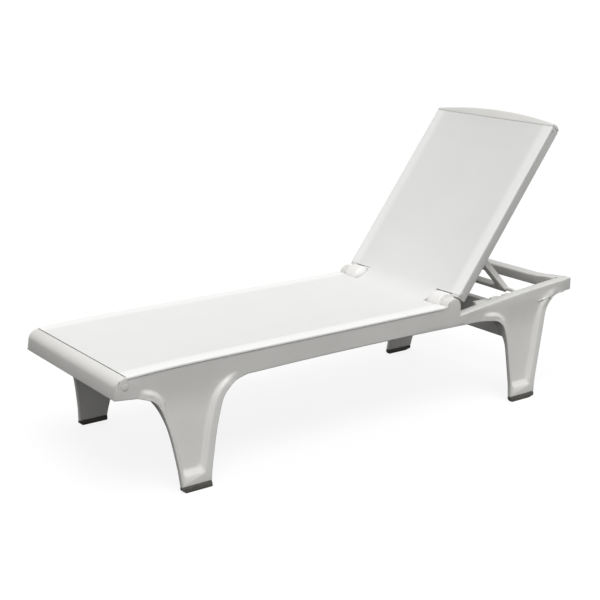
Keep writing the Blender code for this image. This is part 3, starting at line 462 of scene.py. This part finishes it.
def shoe_rubber():
    made, nodes, links, output = node_material("shoe_rubber")
    shader = nodes.new("ShaderNodeBsdfPrincipled")
    place = nodes.new("ShaderNodeTexCoord")
    dust = nodes.new("ShaderNodeTexNoise")
    dust.inputs["Scale"].default_value = 60.0
    dust.inputs["Detail"].default_value = 6.0
    links.new(place.outputs["Object"], dust.inputs["Vector"])
    tone = nodes.new("ShaderNodeValToRGB")
    tone.color_ramp.elements[0].color = (0.070, 0.068, 0.062, 1)
    tone.color_ramp.elements[1].color = (0.145, 0.140, 0.128, 1)
    links.new(dust.outputs["Fac"], tone.inputs["Fac"])
    links.new(tone.outputs["Color"], shader.inputs["Base Color"])
    bump = nodes.new("ShaderNodeBump")
    bump.inputs["Strength"].default_value = 0.25
    bump.inputs["Distance"].default_value = 0.0008
    links.new(dust.outputs["Fac"], bump.inputs["Height"])
    links.new(bump.outputs["Normal"], shader.inputs["Normal"])
    shader.inputs["Roughness"].default_value = 0.78
    links.new(shader.outputs["BSDF"], output.inputs["Surface"])
    return made


rubber = shoe_rubber()
for side in ("right", "left"):
    for node in (f"foot_pad_{side}", f"head_pad_{side}"):
        shoe = merged_copy(node, f"rubber_{node}")
        round_edges(shoe, SHOE_ROUND, plain_outline)
        finish_piece(shoe, rubber, "base", node)


# ---------------------------------------------------------------- sling
# One length of coated white mesh, stretched over the rails from the foot bar to the top bar.
# Its side hems hold rods in the rails' grooves. It is cut narrower between the hinge covers,
# with the cut edges turned down.
FLAT_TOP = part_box("seat_sling")[1].z - 0.0008           # middle of the cloth on the level seat
FOOT_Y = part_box("seat_sling")[0].y + 0.0006
RAIL_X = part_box("seat_sling")[1].x
SLIM_X = 0.181                      # half its width between the hinge covers
INNER_X = 0.2564                    # inner faces of the rails, where the sag begins
GRIP_RUN = 0.050                    # over this run the fold's curve gives way to the rails' line
CLOTH_ABOVE = 0.0070                # cloth above the backrest's hinge line, square to it
SEAM_ALONG = 0.7130                 # from the hinge to the top bar
CORNER_ALONG = (FLAT_TOP - HINGE.z - CLOTH_ABOVE * OUT.z) / UP.z
CORNER = HINGE + OUT * CLOTH_ABOVE + UP * CORNER_ALONG
FOLD_RUN = 0.056                    # the cloth leaves the flat this far from the corner
SEAT_END, BACK_START = 0.3123, 0.0425       # the full width stops here, at the hinge covers
SEAT_ROWS, FOLD_ROWS, BACK_ROWS = 64, 20, 38
FOOT_HOLD, FOLD_HOLD, SEAM_HOLD, BACK_HOLD = 0.16, 0.22, 0.12, 0.16     # runs over which sag grows
SAG_SHAPE = 0.8                     # less than 1 makes it grow fast at first


def seat_height(y):
    return FLAT_TOP - seat_fall(y)


def fold_point(share):
    """Soft curve between seat and backrest, share 0 to 1."""
    start = CORNER - Vector((0, FOLD_RUN, 0))
    end = CORNER + UP * FOLD_RUN
    return start * (1 - share) ** 2 + CORNER * 2 * share * (1 - share) + end * share ** 2


def cloth_stations():
    """Rows of the cloth: middle point, normal, sag, the rail point it would rest on, and side."""
    rows = []
    start = CORNER.y - FOLD_RUN
    for i in range(SEAT_ROWS + 1):
        y = FOOT_Y + (start - FOOT_Y) * i / SEAT_ROWS
        sag = (min(1.0, (y - FOOT_Y) / FOOT_HOLD) ** SAG_SHAPE
               * min(1.0, (CORNER.y - y) / FOLD_HOLD) ** SAG_SHAPE)
        point = Vector((0, y, seat_height(y)))
        rows.append((point, Vector((0, 0, 1)), sag, point, "seat"))
    fold_sag = rows[-1][2]
    for i in range(1, FOLD_ROWS):
        share = i / FOLD_ROWS
        turn = share * RECLINE
        point = fold_point(share)
        if share < 0.5:
            rest, side = Vector((0, point.y, FLAT_TOP)), "seat"
        else:
            rest = HINGE + OUT * CLOTH_ABOVE + UP * (point - HINGE).dot(UP)
            side = "back"
        rows.append((point, Vector((0, -math.sin(turn), math.cos(turn))), fold_sag, rest, side))
    first = CORNER_ALONG + FOLD_RUN
    for i in range(BACK_ROWS + 1):
        along = first + (SEAM_ALONG - first) * i / BACK_ROWS
        reach = fold_sag + (1 - fold_sag) * min(1.0, (along - first) / BACK_HOLD)
        sag = min(1.0, (SEAM_ALONG - along) / SEAM_HOLD) ** SAG_SHAPE * reach
        point = HINGE + OUT * CLOTH_ABOVE + UP * along
        rows.append((point, OUT, sag, point, "back"))
    return rows


def cloth_columns():
    """Across half the cloth: (x inside the rails, or x past the rail's edge, and drop)."""
    inner = [(x, 0.0) for x in (0.026, 0.052, 0.078, 0.104, 0.130, 0.156, SLIM_X,
                                0.200, 0.218, 0.235, 0.248, INNER_X, 0.2660, 0.2760)]
    radius = 0.0042
    outer = [(-0.0080, 0.0)]
    for i in range(5):
        turn = math.radians(22.5 * i)
        outer.append((0.0010 - radius * (1 - math.sin(turn)), radius * (1 - math.cos(turn))))
    outer += [(0.0010, 0.0058), (0.0009, 0.0070), (-0.0008, 0.0077)]
    return inner, outer


SEAT_SAG, BACK_SAG = 0.011, 0.009
CLOTH_THICKNESS = 0.0015
FIT = 0.002                         # a row this near to the end of the full width belongs to it
HAIR = 1e-6
RAIL_EDGE = {"seat": RAIL_X, "back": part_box("back_sling")[1].x}
inner, outer = cloth_columns()
rows = cloth_stations()
sheet_mesh = bmesh.new()
grid, across = [], []
for point, normal, sag, rest, side in rows:
    half = []
    for x, drop in [(0.0, 0.0)] + inner + [(RAIL_EDGE[side] + past, drop) for past, drop in outer]:
        hang = max(0.0, 1 - (x / INNER_X) ** 2) * sag * (SEAT_SAG if side == "seat" else BACK_SAG)
        held = smooth_step((x - SLIM_X) / GRIP_RUN)
        base = point * (1 - held) + rest * held
        up = normal if held < 0.5 else (Vector((0, 0, 1)) if side == "seat" else OUT)
        half.append((x, base - up * (hang + drop)))
    line = [(-x, place) for x, place in reversed(half[1:])] + half
    grid.append([sheet_mesh.verts.new((x, place.y, place.z)) for x, place in line])
    across.append([x for x, place in line])
for i, (lower, upper) in enumerate(zip(grid, grid[1:])):
    rest, side = rows[i][3], rows[i][4]
    if side == "seat":
        full = rows[i + 1][4] == "seat" and rows[i + 1][3].y < SEAT_END + FIT
    else:
        full = (rest - HINGE).dot(UP) > BACK_START - FIT
    for j in range(len(lower) - 1):
        if full or max(abs(across[i][j]), abs(across[i][j + 1])) < SLIM_X + HAIR:
            sheet_mesh.faces.new((lower[j], lower[j + 1], upper[j + 1], upper[j]))


def turned_hem(edge, offsets, places):
    """A strip of cloth turned down along an edge of a cut-out beside the hinge covers."""
    lower = [sheet_mesh.verts.new(vert.co + offset) for vert, offset in zip(edge, offsets)]
    for k in range(len(edge) - 1):
        sheet_mesh.faces.new((edge[k], edge[k + 1], lower[k + 1], lower[k]))
    hem_places.update(zip(lower, places))


HEM = 0.009                         # depth of the turned edges
hem_places = {}
cut_rows = [i for i, row in enumerate(grid) if any(v.link_faces for v in row)
            and not all(v.link_faces for v in row)]
length_along = [0.0]
for i in range(1, len(rows)):
    length_along.append(length_along[-1] + (rows[i][0] - rows[i - 1][0]).length)
first_cut, last_cut = cut_rows[0] - 1, cut_rows[-1] + 1
for row, offset, shift in ((first_cut, Vector((0, 0, -HEM)), HEM), (last_cut, -OUT * HEM, -HEM)):
    for sign in (1, -1):
        picked = [j for j, x in enumerate(across[row]) if sign * x > SLIM_X - HAIR]
        turned_hem([grid[row][j] for j in picked], [offset] * len(picked),
                   [(across[row][j], length_along[row] + shift) for j in picked])
for slim in (SLIM_X, -SLIM_X):
    j = min(range(len(across[0])), key=lambda k: abs(across[0][k] - slim))
    run = range(first_cut, last_cut + 1)
    turned_hem([grid[i][j] for i in run], [-rows[i][1] * HEM for i in run],
               [(slim, length_along[i]) for i in run])
bmesh.ops.delete(sheet_mesh, geom=[v for v in sheet_mesh.verts if not v.link_faces],
                 context="VERTS")
places = {v: (across[i][j], length_along[i]) for i, row in enumerate(grid)
          for j, v in enumerate(row) if v.is_valid}
places.update(hem_places)
bmesh.ops.recalc_face_normals(sheet_mesh, faces=sheet_mesh.faces)
if sum(face.normal.z for face in sheet_mesh.faces) < 0:
    bmesh.ops.reverse_faces(sheet_mesh, faces=sheet_mesh.faces)
uv = sheet_mesh.loops.layers.uv.new("cloth")
for face in sheet_mesh.faces:
    for loop in face.loops:
        loop[uv].uv = places[loop.vert]
cloth_area = sum(face.calc_area() for face in sheet_mesh.faces)
cloth = bpy.data.meshes.new("white_sling")
sheet_mesh.to_mesh(cloth)
sheet_mesh.free()
sling = bpy.data.objects.new("white_sling", cloth)
scene.collection.objects.link(sling)
make_active(sling)
thickness = sling.modifiers.new("thickness", "SOLIDIFY")
thickness.thickness = CLOTH_THICKNESS
thickness.offset = 0.0
bpy.ops.object.modifier_apply(modifier="thickness")
bpy.ops.object.shade_smooth_by_angle(angle=math.radians(50))


WAVES, SQUARES = 98.0, 312.0        # both repeat every 3.2 mm
RAIL_BRIGHT_BAND = (0.235, 0.268)             # over these x the cloth comes to lie on the rail, and brightness is painted in


def coated_mesh():
    """Plain weave of coated threads 3.2 mm apart, with painted brightness where the cloth lies on the rails."""
    made, nodes, links, output = node_material("coated_mesh")
    shader = nodes.new("ShaderNodeBsdfPrincipled")
    place = nodes.new("ShaderNodeUVMap")
    place.uv_map = "cloth"
    threads = []
    for direction in ("X", "Y"):
        wave = nodes.new("ShaderNodeTexWave")
        wave.bands_direction = direction
        wave.inputs["Scale"].default_value = WAVES
        wave.inputs["Distortion"].default_value = 0.0
        links.new(place.outputs["UV"], wave.inputs["Vector"])
        threads.append(wave)
    over = nodes.new("ShaderNodeTexChecker")
    over.inputs["Scale"].default_value = SQUARES
    links.new(place.outputs["UV"], over.inputs["Vector"])
    weave = nodes.new("ShaderNodeMix")
    links.new(over.outputs["Fac"], weave.inputs["Factor"])
    links.new(threads[0].outputs["Fac"], weave.inputs["A"])
    links.new(threads[1].outputs["Fac"], weave.inputs["B"])
    bump = nodes.new("ShaderNodeBump")
    bump.inputs["Strength"].default_value = 0.22
    bump.inputs["Distance"].default_value = 0.0005
    links.new(weave.outputs["Result"], bump.inputs["Height"])
    links.new(bump.outputs["Normal"], shader.inputs["Normal"])
    tone = nodes.new("ShaderNodeValToRGB")
    tone.color_ramp.elements[0].color = (0.80, 0.80, 0.80, 1)
    tone.color_ramp.elements[1].color = (0.88, 0.88, 0.88, 1)
    links.new(weave.outputs["Result"], tone.inputs["Fac"])
    cloud = nodes.new("ShaderNodeTexNoise")
    cloud.inputs["Scale"].default_value = 5.0
    cloud.inputs["Detail"].default_value = 3.0
    links.new(place.outputs["UV"], cloud.inputs["Vector"])
    soft = nodes.new("ShaderNodeMix")
    soft.data_type = "RGBA"
    soft.blend_type = "MULTIPLY"
    soft.inputs["Factor"].default_value = 0.05
    links.new(tone.outputs["Color"], soft.inputs["A"])
    links.new(cloud.outputs["Fac"], soft.inputs["B"])
    across = nodes.new("ShaderNodeSeparateXYZ")
    links.new(place.outputs["UV"], across.inputs["Vector"])
    side = nodes.new("ShaderNodeMath")
    side.operation = "ABSOLUTE"
    links.new(across.outputs["X"], side.inputs[0])
    rail_brightening = nodes.new("ShaderNodeMapRange")
    rail_brightening.interpolation_type = "SMOOTHSTEP"
    rail_brightening.inputs["From Min"].default_value = RAIL_BRIGHT_BAND[0]
    rail_brightening.inputs["From Max"].default_value = RAIL_BRIGHT_BAND[1]
    links.new(side.outputs["Value"], rail_brightening.inputs["Value"])
    # painted brightness: the cloth's colour is lifted towards 0.93 along the rails
    lit = nodes.new("ShaderNodeMix")
    lit.data_type = "RGBA"
    lit.inputs["B"].default_value = (0.93, 0.93, 0.925, 1)
    links.new(rail_brightening.outputs["Result"], lit.inputs["Factor"])
    links.new(soft.outputs["Result"], lit.inputs["A"])
    links.new(lit.outputs["Result"], shader.inputs["Base Color"])
    shader.inputs["Roughness"].default_value = 0.62
    shader.inputs["Sheen Weight"].default_value = 0.12
    shader.inputs["Sheen Roughness"].default_value = 0.5
    links.new(shader.outputs["BSDF"], output.inputs["Surface"])
    return made


cloth.materials.append(coated_mesh())
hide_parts("seat_sling", "back_sling")
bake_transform(sling)


# ---------------------------------------------------------------- steel, nylon and edge rods
# Stainless screws and pins, nylon bushes round the hinge pins, and the extruded rods in the
# sling's hems. They keep the frame's own shapes; only their finish is new.
def small_part(name, colour, roughness, metallic, scale):
    """Fine drawn or moulded surface for pins, screws, bushes and rods."""
    made, nodes, links, output = node_material(name)
    shader = nodes.new("ShaderNodeBsdfPrincipled")
    place = nodes.new("ShaderNodeTexCoord")
    lines = nodes.new("ShaderNodeTexNoise")
    lines.inputs["Scale"].default_value = scale
    lines.inputs["Detail"].default_value = 4.0
    links.new(place.outputs["Object"], lines.inputs["Vector"])
    tone = nodes.new("ShaderNodeValToRGB")
    tone.color_ramp.elements[0].color = (*[c * 0.86 for c in colour], 1)
    tone.color_ramp.elements[1].color = (*colour, 1)
    links.new(lines.outputs["Fac"], tone.inputs["Fac"])
    links.new(tone.outputs["Color"], shader.inputs["Base Color"])
    bump = nodes.new("ShaderNodeBump")
    bump.inputs["Strength"].default_value = 0.12
    bump.inputs["Distance"].default_value = 0.0003
    links.new(lines.outputs["Fac"], bump.inputs["Height"])
    links.new(bump.outputs["Normal"], shader.inputs["Normal"])
    shader.inputs["Roughness"].default_value = roughness
    shader.inputs["Metallic"].default_value = metallic
    links.new(shader.outputs["BSDF"], output.inputs["Surface"])
    return made


FINISHES = {"screw_steel": small_part("stainless", (0.56, 0.56, 0.57), 0.34, 1.0, 500.0),
            "bush_nylon": small_part("natural_nylon", (0.70, 0.69, 0.64), 0.55, 0.0, 300.0),
            "keder_rod": small_part("edge_rod", (0.72, 0.72, 0.70), 0.50, 0.0, 300.0)}
slots = {part["node"]: part["material_slot"] for part in frame["record"]["subparts"]}
for node, item in frame["nodes"].items():
    if slots[node] in FINISHES:
        item.data.materials.clear()
        item.data.materials.append(FINISHES[slots[node]])
